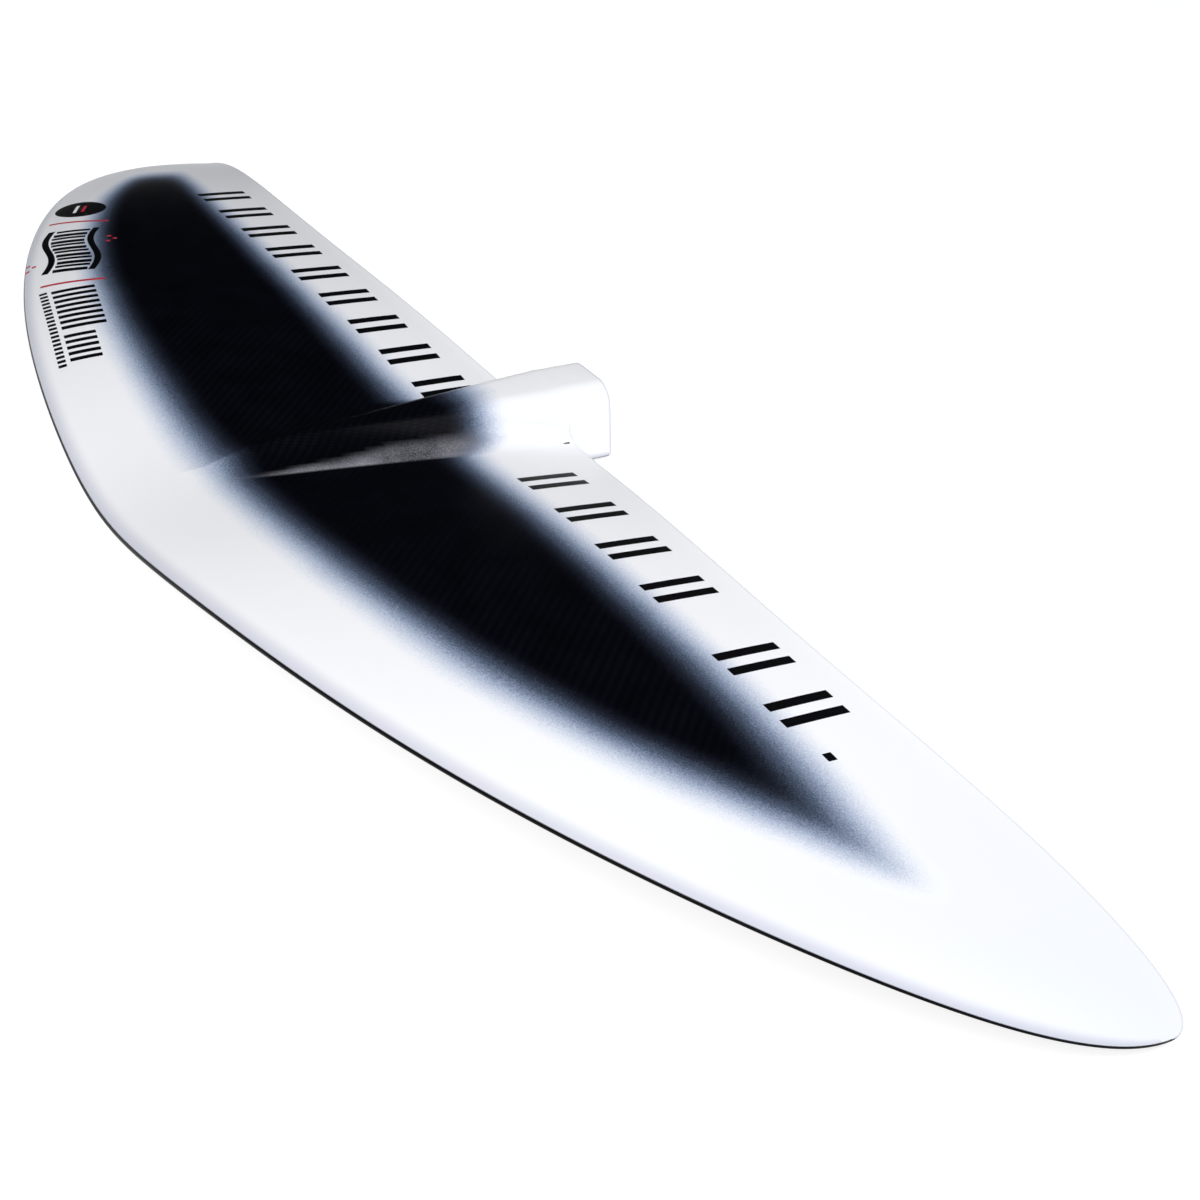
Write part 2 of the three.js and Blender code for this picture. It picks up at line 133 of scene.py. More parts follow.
def trailing(t):
    last = TIP_Y - ROOT_CHORD - 136.3
    return ROOT_CHORD + t * (-99.4 + t * (82 + t * (153.7 + t * last)))


def chord_at(t):
    return trailing(t) - leading(t)


def edge_height(x):
    """Height of the edges: level under the hub, arched at mid-span, with the tips turned down."""
    u = np.abs(x) / HALF_SPAN
    bend = 0.147
    rise = 0.698 * (np.hypot(u, bend) - bend)
    return HALF_SPAN * (rise - u * u * (1.546 - 1.703 * u + 0.779 * u * u))


def section(x, s, chord):
    """Mean height and half thickness at span x and chord fraction s, with rounded edges."""
    share = np.abs(x) / HALF_SPAN
    thick = ROOT_THICKNESS + (TIP_THICKNESS - ROOT_THICKNESS) * share
    camber = ROOT_CAMBER + (TIP_CAMBER - ROOT_CAMBER) * share
    curve = 0.2969 * np.sqrt(s) - 0.126 * s - s * s * (0.3516 - 0.2843 * s + 0.1036 * s * s)
    side = np.where(s < CAMBER_PEAK, CAMBER_PEAK, 1 - CAMBER_PEAK)
    mid = edge_height(x) + chord * camber * (1 - ((s - CAMBER_PEAK) / side) ** 2)
    inward = np.clip(np.minimum(s, 1 - s) * chord / (EDGE / 2), 0, 1)
    rounded = EDGE / 2 * np.sqrt(1 - (1 - inward) ** 2)
    return mid, np.maximum(5 * thick * chord * curve, rounded)


def fraction_at(x, y):
    t = station_at(x)
    return np.clip((y - leading(t)) / np.maximum(chord_at(t), 1e-3), 0, 1)


def section_at(x, y):
    return section(x, fraction_at(x, y), chord_at(station_at(x)))


def top_at(x, y):
    mid, half = section_at(x, y)
    return mid + half


# ---- Shape of the hub ----
def smooth_positive(value, softness=0.12):
    """The value where it is positive, running out softly to nothing."""
    return (value + np.hypot(value, softness)) / 2


def crown_at(y):
    fall = CROWN_FALL * np.maximum(WING_BACK - y, 0)
    return HUB_TOP - fall - NOSE_DROP * np.exp((HUB_NOSE - y) / 22)


def keel_at(y):
    return -KEEL + KEEL_DROP * np.exp((KEEL_NOSE - np.minimum(y, WING_BACK)) / 12)


def toe_at(y):
    """Half width of the hub on the upper skin, drawn in a little towards the tail."""
    widening = np.clip((y - HUB_NOSE) / 100, 0.001, 1) ** 0.23
    return HUB_TOE * widening - 4.5 * ramp(y, 175, 30) ** 2


def keel_toe_at(y):
    return KEEL_TOE * np.clip((y - KEEL_NOSE) / 80, 0.004, 1) ** 0.35


def flank(rise, flat, toe, shoulder, steepest):
    """Half a hub section for each row: a flat, a rounded shoulder, a wall and a hollow fillet.
    Returns sideways place, drop from the crown and slope, one row of points per value."""
    width = toe - flat
    angle = np.minimum(steepest, 2 * np.arctan(rise / width))
    sin, cos = np.sin(angle), np.cos(angle)
    radius = shoulder * width / sin
    rest_width = width - radius * sin
    rest_rise = rise - radius * (1 - cos)
    wall = (rest_rise * sin - rest_width * (1 - cos)) / (sin * sin - cos * (1 - cos))
    fillet = (rest_width - wall * cos) / sin
    turn = np.linspace(0, 1, ARC_STEPS + 1)
    out = angle[:, None] * turn
    back = out[:, ::-1]
    zero = np.zeros((len(rise), 1))
    shoulder_x = flat[:, None] + radius[:, None] * np.sin(out)
    fillet_x = toe[:, None] - fillet[:, None] * np.sin(back)
    shoulder_drop = radius[:, None] * (1 - np.cos(out))
    fillet_drop = rise[:, None] - fillet[:, None] * (1 - np.cos(back))
    x = np.hstack([zero, shoulder_x, fillet_x])
    drop = np.hstack([zero, shoulder_drop, fillet_drop])
    return x, drop, np.hstack([zero, out, back])


def upper_flank(y):
    rise = smooth_positive(crown_at(y) - top_at(0.0, y) - RIDGE_START)
    flat = RIDGE + (FLAT_END - RIDGE) * ramp(y, 85, 120)
    shoulder = 0.03 + 0.602 * ramp(y, 50, 155) ** 2
    return rise, flank(rise, flat, toe_at(y), shoulder, WALL_ANGLE)


def lower_flank(y):
    mid, half = section_at(0.0, y)
    fall = smooth_positive(mid - half - keel_at(y) - RIDGE_START)
    toe = keel_toe_at(y)
    flat = RIDGE + (toe - KEEL_SIDE - RIDGE) * ramp(y, KEEL_NOSE, 60)
    return fall, flank(fall, flat, toe, np.full_like(y, KEEL_SHOULDER), KEEL_ANGLE)


def tail_flank(up, count):
    """Half the hub's section behind the wing, from the crown or the keel to the parting line."""
    radius = SHOULDER_RADIUS if up else CORNER
    lean = WALL_ANGLE if up else math.pi - WALL_ANGLE
    top_x = FLAT_END + SHOULDER_RADIUS * math.sin(WALL_ANGLE)
    top_z = HUB_TOP - SHOULDER_RADIUS * (1 - math.cos(WALL_ANGLE))
    low_z = -KEEL + CORNER * (1 + math.cos(WALL_ANGLE))
    low_x = top_x + (top_z - low_z) / math.tan(WALL_ANGLE)
    flat = FLAT_END if up else low_x - CORNER * math.sin(WALL_ANGLE)
    turn = np.linspace(0, 1, ARC_STEPS + 1) * lean
    start = HUB_TOP if up else -KEEL
    way = -1 if up else 1
    arc_x = flat + radius * np.sin(turn)
    arc_z = start + way * radius * (1 - np.cos(turn))
    end_z = edge_height(top_x + top_z / math.tan(WALL_ANGLE))
    wall_z = np.linspace(arc_z[-1], end_z, count - ARC_STEPS - 1)[1:]
    wall_x = arc_x[-1] + (arc_z[-1] - wall_z) / math.tan(WALL_ANGLE)
    x = np.concatenate([[0], arc_x, wall_x])
    z = np.concatenate([[start], arc_z, wall_z])
    slope = np.concatenate([[0], turn, np.full(len(wall_z), lean)])
    return x, z, slope


# ---- Mesh making ----
def mesh_object(name, vertices, faces, sharp=math.radians(38)):
    """A smooth-shaded mesh with its doubled vertices merged and its faces turned outwards."""
    mesh = bpy.data.meshes.new(name)
    mesh.from_pydata(vertices.tolist(), [], faces)
    solid = bmesh.new()
    solid.from_mesh(mesh)
    bmesh.ops.remove_doubles(solid, verts=solid.verts, dist=1e-6)
    bmesh.ops.dissolve_degenerate(solid, edges=solid.edges, dist=1e-7)
    bmesh.ops.recalc_face_normals(solid, faces=solid.faces)
    solid.to_mesh(mesh)
    solid.free()
    mesh.shade_smooth()
    mesh.set_sharp_from_angle(angle=sharp)
    piece = bpy.data.objects.new(name, mesh)
    bpy.context.scene.collection.objects.link(piece)
    return piece


def grid_faces(index):
    """Quads over a 2-D array of vertex numbers."""
    a, b = index[:-1, :-1], index[1:, :-1]
    c, d = index[1:, 1:], index[:-1, 1:]
    return np.stack([a, b, c, d], -1).reshape(-1, 4)


def strip_faces(one, other):
    return grid_faces(np.stack([one, other]))


def numbered(grids):
    """Vertex numbers for several grids of points that are stored one after another."""
    numbers, start = [], 0
    for points in grids:
        rows, columns = points.shape[:2]
        numbers.append(np.arange(start, start + rows * columns).reshape(rows, columns))
        start += rows * columns
    return numbers


def outline(grid):
    """The border of a grid of vertex numbers, once round."""
    return np.concatenate([grid[0], grid[1:, -1], grid[-1, :-1][::-1], grid[:-1, 0][::-1]])


def outline_with_tail(grid, tail, first):
    """The border of a grid with a narrower tail grid behind its columns from first on."""
    last = first + tail.shape[1]
    return np.concatenate([
        grid[0], grid[1:, -1], grid[-1, last - 1:-1][::-1], tail[:, -1],
        tail[-1, :-1][::-1], tail[:-1, 0][::-1], grid[-1, :first + 1][::-1], grid[:-1, 0][::-1],
    ])


def closed_shell(name, outer, inner, outer_tail, inner_tail, first):
    """Joins an outer and an inner grid, and the two tail grids behind the columns from first on."""
    grids = (outer, inner, outer_tail, inner_tail)
    top, under, tail, tail_under = numbered(grids)
    last = first + tail.shape[1]
    faces = [
        grid_faces(top), grid_faces(under)[:, ::-1],
        grid_faces(tail), grid_faces(tail_under)[:, ::-1],
        strip_faces(top[-1, first:last], tail[0]),
        strip_faces(under[-1, first:last], tail_under[0])[:, ::-1],
        strip_faces(outline_with_tail(top, tail, first), outline_with_tail(under, tail_under, first)),
    ]
    vertices = np.concatenate([points.reshape(-1, 3) for points in grids])
    return mesh_object(name, in_frame(vertices), np.concatenate(faces).tolist())


def chord_rows(nose):
    """Chord fractions of the rows, close together at the edges and where the hub's nose begins."""
    near = nose / ROOT_CHORD
    front_end, nose_start, nose_end, rear_start = 0.16, near - 0.02, near + 0.1, 0.98
    front = front_end * (1 - np.cos(np.linspace(0, np.pi / 2, 26)))
    return np.concatenate([
        front,
        np.linspace(front_end, nose_start, 6)[1:],
        np.linspace(nose_start, nose_end, 34)[1:],
        np.linspace(nose_end, rear_start, 50)[1:],
        1 - (1 - rear_start) * np.array([0.6, 0.3, 0.12, 0.06, 0.03, 0.01, 0.0]),
    ])


def toe_rows(s_rows, toe_function):
    """Where each row meets the hub's toe, found by a few rounds of trial: its Y and its station."""
    y_toe = s_rows * WING_BACK
    for _ in range(3):
        t_toe = station_at(toe_function(y_toe))
        y_toe = leading(t_toe) + s_rows * chord_at(t_toe)
    return y_toe, t_toe


def hollow_half(half):
    """Half thickness of the hollow under a skin where the wing's half thickness is given."""
    return np.minimum(np.maximum(half - SKIN, THINNEST), 0.6 * half)


def wing_grids(s_rows, t_toe, way):
    """Outer and inner points of one skin of the left wing, from the hub's toe to the tip."""
    share = np.linspace(0, 1, WING_COLUMNS + 1)[1:]
    t = t_toe[:, None] + (1 - t_toe[:, None]) * share
    chord = np.maximum(chord_at(t), 1e-4)
    x = span_at(t)
    s = np.repeat(s_rows[:, None], WING_COLUMNS, 1)
    y = leading(t) + s * chord
    mid, half = section(x, s, chord)
    outer = np.stack([x, y, mid + way * half], -1)
    inner = np.stack([x, y, mid + way * hollow_half(half)], -1)
    return outer, inner


def hub_grids(y_toe, up, way):
    """Outer and inner points of half the hub, from the middle to the toe."""
    rise, (side, drop, slope) = (upper_flank if up else lower_flank)(y_toe)
    y = np.repeat(y_toe[:, None], side.shape[1], 1)
    mid, half = section_at(side, y)
    out_z = mid + way * (half + rise[:, None] - drop)
    under_skin = mid + way * hollow_half(half)
    hollow = (y_toe > BLOCK_FRONT)[:, None]
    in_x = np.where(hollow, np.maximum(side - HUB_SKIN * np.sin(slope), 0), side)
    in_z = np.where(hollow, out_z - way * HUB_SKIN * np.cos(slope), under_skin)
    tail_x, tail_z, tail_slope = tail_flank(up, side.shape[1])
    behind = (y_toe > TAIL_FRONT)[:, None]
    in_x = np.where(behind, np.maximum(tail_x - HUB_SKIN * np.sin(tail_slope), 0), in_x)
    in_z = np.where(behind, tail_z - way * HUB_SKIN * np.cos(tail_slope), in_z)
    in_x[:, -1] = side[:, -1]
    in_z[:, -1] = under_skin[:, -1]
    return np.stack([side, y, out_z], -1), np.stack([in_x, y, in_z], -1)


def tail_grid(tail_y, depth, up, way, count):
    """Points of half the tail at given places along it, each row some depth under the surface."""
    tail_x, tail_z, slope = tail_flank(up, count)
    x = np.maximum(tail_x - depth[:, None] * np.sin(slope), 0)
    z = tail_z - way * depth[:, None] * np.cos(slope)
    z[:, -1] = tail_z[-1]
    return np.stack([x, np.repeat(tail_y[:, None], count, 1), z], -1)


def both_sides(points):
    """A grid from the middle outwards, with its mirror image before it."""
    return np.concatenate([(points * [-1, 1, 1])[:, :0:-1], points], 1)


def skin(name, up):
    """The upper or lower skin with its half of the hub, as one closed shell."""
    way = 1 if up else -1
    s_rows = chord_rows(HUB_NOSE if up else KEEL_NOSE)
    y_toe, t_toe = toe_rows(s_rows, toe_at if up else keel_toe_at)
    hub_out, hub_in = hub_grids(y_toe, up, way)
    wing_out, wing_in = wing_grids(s_rows, t_toe, way)
    angles = np.linspace(0, np.pi / 2, TAIL_ROWS - 2)
    rounding = HUB_END - END_ROUND * (1 - np.sin(angles))
    tail_y = np.concatenate([[WING_BACK, (WING_BACK + HUB_END) / 2], rounding])
    drawn_in = np.concatenate([[0, 0], END_ROUND * (1 - np.cos(angles))])
    count = hub_out.shape[1]
    tail_out = tail_grid(tail_y, drawn_in, up, way, count)
    tail_in = tail_grid(tail_y, np.full(TAIL_ROWS, HUB_SKIN), up, way, count)
    outer = both_sides(np.concatenate([hub_out, wing_out], 1))
    inner = both_sides(np.concatenate([hub_in, wing_in], 1))
    return closed_shell(name, outer, inner, both_sides(tail_out), both_sides(tail_in), WING_COLUMNS)


def recess_cutter(y):
    """A short upright cylinder through the keel."""
    mesh = bpy.data.meshes.new("recess")
    shape = bmesh.new()
    bmesh.ops.create_cone(
        shape, cap_ends=True, segments=96, radius1=SCREW_RECESS * MM, radius2=SCREW_RECESS * MM,
        depth=8 * MM, matrix=Matrix.Translation(Vector(in_frame([0, y, -KEEL]))),
    )
    shape.to_mesh(mesh)
    shape.free()
    cutter = bpy.data.objects.new("recess", mesh)
    bpy.context.scene.collection.objects.link(cutter)
    return cutter


def cut_screw_recesses(piece):
    """Opens the keel round the two screw bushes."""
    for y in SCREW_Y:
        cutter = recess_cutter(y)
        cut = piece.modifiers.new("recess", "BOOLEAN")
        cut.operation = "DIFFERENCE"
        cut.solver = "EXACT"
        cut.object = cutter
        depsgraph = bpy.context.evaluated_depsgraph_get()
        result = bpy.data.meshes.new_from_object(piece.evaluated_get(depsgraph))
        piece.modifiers.clear()
        piece.data = result
        bpy.data.objects.remove(cutter)


# ---- Paint layout, kept on the vertices ----
def soft_minimum(one, other, softness):
    return (one + other - np.hypot(one - other, softness)) / 2


def window_depth(x, y):
    """How far a point lies inside the carbon window, in millimetres; the wings' windows differ."""
    left = x > 0
    u = np.abs(x) / HALF_SPAN
    s = fraction_at(x, y)
    front = np.where(left, 0.243 + 0.63 * u ** 4.5, 0.237 - 0.05 * u + 0.55 * u ** 6)
    narrowing = np.where(left, 0.76, 0.3) * u ** 5
    across = np.abs(x) / np.maximum(toe_at(y), 1)
    over_hub = 0.06 * (1 - ramp(across, 0.67, 0.33))
    rear = 0.725 + 0.01 * np.minimum(u / 0.35, 1) - narrowing + over_hub
    sides = soft_minimum(s - front, rear - s, 0.04) * chord_at(station_at(x))
    sharpness = np.where(left, 1.35 - 0.3 * u * u, 1.15 + 0.9 * u)
    to_tip = np.where(left, 328, 331) - np.abs(x)
    return soft_minimum(sides * sharpness, to_tip, 12)


def haze_and_reflection_share(x, y):
    """How much lighter grey lies in the left fillet of the hub, 0 to 1: overspray and a painted
    reflection.
    """
    across = np.abs(x) / np.maximum(toe_at(y), 1)
    start = 0.82 - 0.32 * ramp(y, 60, 60)
    # a broad band that is partly overspray and partly a painted reflection, and a thin painted
    # highlight near the toe
    band = 0.7 * ramp(across, start, 0.2) + 0.3 * ramp(across, 0.84, 0.05) * ramp(y, 80, 50)
    return (x > 0) * band * (1 - ramp(across, 0.93, 0.03)) * ramp(y, HUB_NOSE, 25)


def paint_layout(piece):
    """Stores on each point what the paint depends on: its depth in the carbon window, its distances
    from the leading and trailing edges, from the wing's back and from the keel, all in millimetres,
    and its share of the fillet's overspray and painted reflection."""
    mesh = piece.data
    places = np.empty(len(mesh.vertices) * 3)
    mesh.vertices.foreach_get("co", places)
    x, y, z = (places.reshape(-1, 3) / MM + [0, HUB_END / 2, -KEEL]).T
    chord = chord_at(station_at(x))
    s = fraction_at(x, y)
    layout = {
        "window": window_depth(x, y),
        "edge": s * chord,
        "rim": (1 - s) * chord,
        "aft": y - WING_BACK,
        "foot": z + KEEL,
        "haze_and_reflection": haze_and_reflection_share(x, y),
    }
    for name, values in layout.items():
        attribute = mesh.attributes.new(name, "FLOAT", "POINT")
        attribute.data.foreach_set("value", values.astype(np.float32))


# ---- Printed marks ----
STRIP_LIFT = 0.05  # half thickness of the printed marks
RAISED = 3  # the layer of marks that lie on another mark


def slab_points(xy, layer):
    """Lifts a grid of places in plan onto the upper skin, as a thin closed slab."""
    z = top_at(xy[..., 0], xy[..., 1])
    high = np.concatenate([xy, (z + STRIP_LIFT * layer)[..., None]], -1)
    low = np.concatenate([xy, (z - STRIP_LIFT)[..., None]], -1)
    return high, low


class MarkSheet:
    """Collects marks of one ink into one mesh."""

    def __init__(self):
        self.vertices = []
        self.faces = []
        self.count = 0

    def add(self, xy, layer=1):
        high, low = slab_points(xy, layer)
        rows, columns = xy.shape[:2]
        top = np.arange(rows * columns).reshape(rows, columns) + self.count
        under = top + rows * columns
        rim = strip_faces(outline(top), outline(under))
        self.faces += [grid_faces(top), grid_faces(under)[:, ::-1], rim]
        self.vertices += [high.reshape(-1, 3), low.reshape(-1, 3)]
        self.count += 2 * rows * columns

    def make(self, name):
        faces = np.concatenate(self.faces).tolist()
        return mesh_object(name, in_frame(np.concatenate(self.vertices)), faces)


def bar(corner, along, across, cell=1.5):
    """A parallelogram grid from a corner and its two sides."""
    corner, along, across = (np.asarray(v, float) for v in (corner, along, across))
    n = max(2, int(np.linalg.norm(along) / cell))
    m = max(2, int(np.linalg.norm(across) / cell))
    a = np.linspace(0, 1, n + 1)[:, None, None]
    b = np.linspace(0, 1, m + 1)[None, :, None]
    return corner + a * along + b * across


def ring(centre, inner, outer, cell=1.0):
    turn = np.linspace(0, 2 * np.pi, 73)[None, :]
    radius = np.linspace(inner, outer, max(2, int((outer - inner) / cell)) + 1)[:, None]
    return np.stack([centre[0] + radius * np.cos(turn), centre[1] + radius * np.sin(turn)], -1)


def edge_marks(sheet):
    """Pairs of slanted bars in a row along the trailing edge of each wing, and one small square."""
    height, thick, apart = 27.5, 4.4, 9.5
    right_wing = [-279 + 30 * k for k in range(9)]
    left_wing = [66 + 34.5 * k for k in range(4)] + [220, 252]
    for x in right_wing + left_wing:
        foot = 190 - 0.095 * abs(x) + 0.00014 * x * x
        slant = 0.03 if x > 0 else 0.14
        for side in (-0.5, 0.5):
            start = x - slant * height / 2 + side * apart - thick / 2
            sheet.add(bar((start, foot), (slant * height, -height), (thick, 0)))
    sheet.add(bar((275.2, 153.3), (0, -3.6), (4, 0)))


def edge_frame(x):
    """A place on the leading edge with its directions along the edge and aft of it."""
    step = 0.5
    rise = leading(station_at(x + step)) - leading(station_at(x - step))
    along = np.array([2 * step, rise])
    along /= np.linalg.norm(along)
    aft = np.array([-along[1], along[0]])
    return np.array([x, leading(station_at(x))]), along, aft


def block(sheet, x, start, length, near, depth):
    """A plain bar set out from the leading edge at x: along the edge, then aft of it."""
    origin, along, aft = edge_frame(x)
    corner = origin + along * start + aft * near
    sheet.add(bar(corner, along * length, aft * depth, 1.2))


def emblem(black, red, white):
    """A black disc with a white and a red bar."""
    origin, along, aft = edge_frame(-287)
    centre = origin + aft * 19
    black.add(ring(centre, 0.2, 13))
    white.add(bar(centre - along * 6 - aft * 3, along * 12, aft * 1.6), RAISED)
    red.add(bar(centre - along * 5 + aft * 1, along * 10, aft * 1.6), RAISED)


def waving_band(black):
    """Two waving lines with plain bars between them."""
    origin, along, aft = edge_frame(-228)
    length, near, depth, line = 58, 9, 22, 3.2
    share = np.linspace(0, 1, 49)
    wave = -2.4 * np.sin(2 * np.pi * share)
    spine = origin + along * (length * (share[:, None] - 0.5)) + aft * wave[:, None]
    for start in (near, near + depth):
        across = np.linspace(start, start + line, 3)
        black.add(spine[:, None] + aft * across[None, :, None])
    for k in range(12):
        reach = np.linspace(near + line + 1.2, near + depth - 1.2, 16)
        width = np.linspace(0, 3.6 if k % 2 else 2.7, 3)
        start = spine[4 * k + 1]
        black.add(start + aft * reach[:, None, None] + along * width[None, :, None])


def tip_label(black, red, white):
    """A row of plain shapes that follows the leading edge near the right tip."""
    emblem(black, red, white)
    for x, near in ((-268, 6.5), (-187, 8)):
        block(red, x, 0, 2.0, near, 30)
    waving_band(black)
    for x, near in ((-214, 0.5), (-241, 38)):
        for k in range(3):
            block(red, x, 3.4 * (k - 1), 2, near + 3 * (k % 2), 2)
    rows_x = -124
    for k in range(8):
        block(black, rows_x, -54 + 5.6 * k, 3.0, 15, 20)
    for k in range(5):
        block(black, rows_x, -6 + 5.4 * k, 2.8, 15, 14)
    for k in range(20):
        block(black, rows_x, -55 + 3.9 * k, 2.2, 9.5, 3.6)


# ---- Materials ----
CARBON_TOW = 1.2 * MM
CARBON_DARK = (0.0005, 0.0006, 0.0012)
CARBON_LIGHT = (0.0055, 0.0065, 0.0115)
WHITE_PAINT = (0.86, 0.875, 0.91)
# painted shade for the white towards the tips
TIP_SHADE_WHITE = (0.62, 0.65, 0.72)
# painted blue-grey shade for the edges and the hub's rounded corners
EDGE_SHADE_BLUE = (0.26, 0.28, 0.42)
HAZE_AND_REFLECTION = (0.39, 0.395, 0.45)  # overspray in the hub's left fillet, with a painted reflection band and a thin painted highlight
FADE = [  # colours of the paint as it thins, by share of the fade
    (0.0, WHITE_PAINT), (0.16, (0.72, 0.755, 0.83)), (0.30, (0.44, 0.50, 0.63)),
    (0.42, (0.20, 0.25, 0.35)), (0.54, (0.062, 0.083, 0.13)), (0.68, (0.018, 0.023, 0.037)),
    (0.84, (0.004, 0.005, 0.009)), (1.0, CARBON_DARK),
]
AIRBRUSH = (1700, 3, 0.7)  # noise scale, detail and roughness of the airbrush grain


class Nodes:
    """Short calls for building a material's node tree."""

    def __init__(self, name):
        self.material = bpy.data.materials.new(name)
        self.material.use_nodes = True
        self.tree = self.material.node_tree
        self.shader = self.tree.nodes["Principled BSDF"]
        self.place = self.tree.nodes.new("ShaderNodeTexCoord").outputs["Object"]

    def set(self, **values):
        for name, value in values.items():
            self.shader.inputs[name.replace("_", " ")].default_value = value

    def link(self, output, socket):
        self.tree.links.new(output, self.shader.inputs[socket])

    def put(self, socket, value):
        if hasattr(value, "is_linked"):
            self.tree.links.new(value, socket)
        else:
            socket.default_value = value

    def math(self, operation, *values):
        node = self.tree.nodes.new("ShaderNodeMath")
        node.operation = operation
        for socket, value in zip(node.inputs, values):
            self.put(socket, value)
        return node.outputs[0]

    def largest(self, first, *others):
        for other in others:
            first = self.math("MAXIMUM", first, other)
        return first

    def attribute(self, name):
        node = self.tree.nodes.new("ShaderNodeAttribute")
        node.attribute_name = name
        return node.outputs["Fac"]

    def noise(self, scale, detail=2.0, roughness=0.5, stretch=None):
        node = self.tree.nodes.new("ShaderNodeTexNoise")
        node.inputs["Scale"].default_value = scale
        node.inputs["Detail"].default_value = detail
        node.inputs["Roughness"].default_value = roughness
        place = self.place
        if stretch:
            mapping = self.tree.nodes.new("ShaderNodeMapping")
            mapping.inputs["Scale"].default_value = stretch
            self.put(mapping.inputs["Vector"], place)
            place = mapping.outputs[0]
        self.put(node.inputs["Vector"], place)
        return node.outputs["Fac"]

    def centred_noise(self, *settings):
        return self.math("SUBTRACT", self.noise(*settings), 0.5)

    def axis(self, name):
        node = self.tree.nodes.new("ShaderNodeSeparateXYZ")
        self.put(node.inputs[0], self.place)
        return node.outputs[name]

    def spread(self, value, low, high, to_low=0.0, to_high=1.0, smooth=False):
        node = self.tree.nodes.new("ShaderNodeMapRange")
        node.interpolation_type = "SMOOTHSTEP" if smooth else "LINEAR"
        for socket, amount in zip(node.inputs, (value, low, high, to_low, to_high)):
            self.put(socket, amount)
        return node.outputs[0]

    def ramp(self, value, stops):
        node = self.tree.nodes.new("ShaderNodeValToRGB")
        elements = node.color_ramp.elements
        while len(elements) < len(stops):
            elements.new(0.5)
        for element, (place, color) in zip(elements, stops):
            element.position = place
            element.color = (*color, 1)
        self.put(node.inputs[0], value)
        return node.outputs[0]

    def mix(self, factor, one, other):
        node = self.tree.nodes.new("ShaderNodeMix")
        node.data_type = "RGBA"
        self.put(node.inputs[0], factor)
        for socket, color in ((node.inputs[6], one), (node.inputs[7], other)):
            self.put(socket, color if hasattr(color, "is_linked") else (*color, 1))
        return node.outputs[2]

    def uneven_roughness(self, noise, low, high):
        self.link(self.spread(noise, 0.3, 0.7, low, high), "Roughness")

    def bump(self, height, strength, distance):
        node = self.tree.nodes.new("ShaderNodeBump")
        node.inputs["Strength"].default_value = strength
        node.inputs["Distance"].default_value = distance
        self.put(node.inputs["Height"], height)
        self.link(node.outputs[0], "Normal")


def twill(nodes, tow):
    """A 2 x 2 twill weave seen from above, for tows of a width in metres: 1 where the warp lies on
    top, and the height, 0 to 1."""
    across = nodes.math("DIVIDE", nodes.axis("X"), tow)
    along = nodes.math("DIVIDE", nodes.axis("Y"), tow)
    row = nodes.math("FLOOR", along)
    column = nodes.math("FLOOR", across)
    always_positive = 4000.0
    step = nodes.math("ADD", nodes.math("ADD", row, column), always_positive)
    over = nodes.math("LESS_THAN", nodes.math("MODULO", step, 4.0), 1.5)
    warp = nodes.math("SINE", nodes.math("MULTIPLY", nodes.math("FRACT", across), math.pi))
    weft = nodes.math("SINE", nodes.math("MULTIPLY", nodes.math("FRACT", along), math.pi))
    picked = nodes.math("MULTIPLY", over, warp)
    rest = nodes.math("MULTIPLY", nodes.math("SUBTRACT", 1.0, over), weft)
    return over, nodes.math("ADD", picked, rest)


def carbon_color(nodes):
    over, height = twill(nodes, CARBON_TOW)
    sheen = nodes.math("MULTIPLY", height, nodes.spread(over, 0, 1, 0.45, 1.0))
    patch = nodes.noise(60, 3)
    return nodes.mix(nodes.math("MULTIPLY", sheen, patch), CARBON_DARK, CARBON_LIGHT), height


def white_color(nodes):
    """White lacquer with faint clouds, with painted shade that makes it darker and bluer towards the
    tips.
    """
    white = nodes.mix(nodes.noise(18, 2), WHITE_PAINT, tuple(c * 0.985 for c in WHITE_PAINT))
    outward = nodes.math("ABSOLUTE", nodes.axis("X"))
    # painted shade: the white turns darker and bluer towards both tips
    return nodes.mix(nodes.spread(outward, 0.24, 0.4, 0.0, 0.5, smooth=True), white, TIP_SHADE_WHITE)


def edge_shade_and_black_lines(nodes, color):
    """Paints blue-grey shade into the white towards the edges and the hub's rear and lower corners, and
    rules the leading edge and the hub's foot off in black."""
    edge, rim, aft, foot = (nodes.attribute(name) for name in ("edge", "rim", "aft", "foot"))
    tail = HUB_END - WING_BACK
    on_wing = nodes.math("LESS_THAN", aft, -25.0)
    before_tail = nodes.math("LESS_THAN", aft, -2.0)
    # painted shade along the edges and the hub's rear and lower corners
    amount = nodes.largest(
        nodes.math("MULTIPLY", nodes.spread(edge, 0.5, 7.0, 0.4, 0.0, smooth=True), on_wing),
        nodes.math("MULTIPLY", nodes.spread(rim, 0.3, 1.3, 0.3, 0.0), before_tail),
        nodes.spread(aft, tail - 1.6, tail, 0.0, 0.7),
        nodes.spread(foot, 0.0, 4.5, 0.75, 0.0),
    )
    line = nodes.largest(nodes.spread(edge, 0.4, 0.7, 1.0, 0.0), nodes.spread(foot, 0.8, 1.8, 1.0, 0.0))
    return nodes.mix(line, nodes.mix(amount, color, EDGE_SHADE_BLUE), CARBON_DARK)


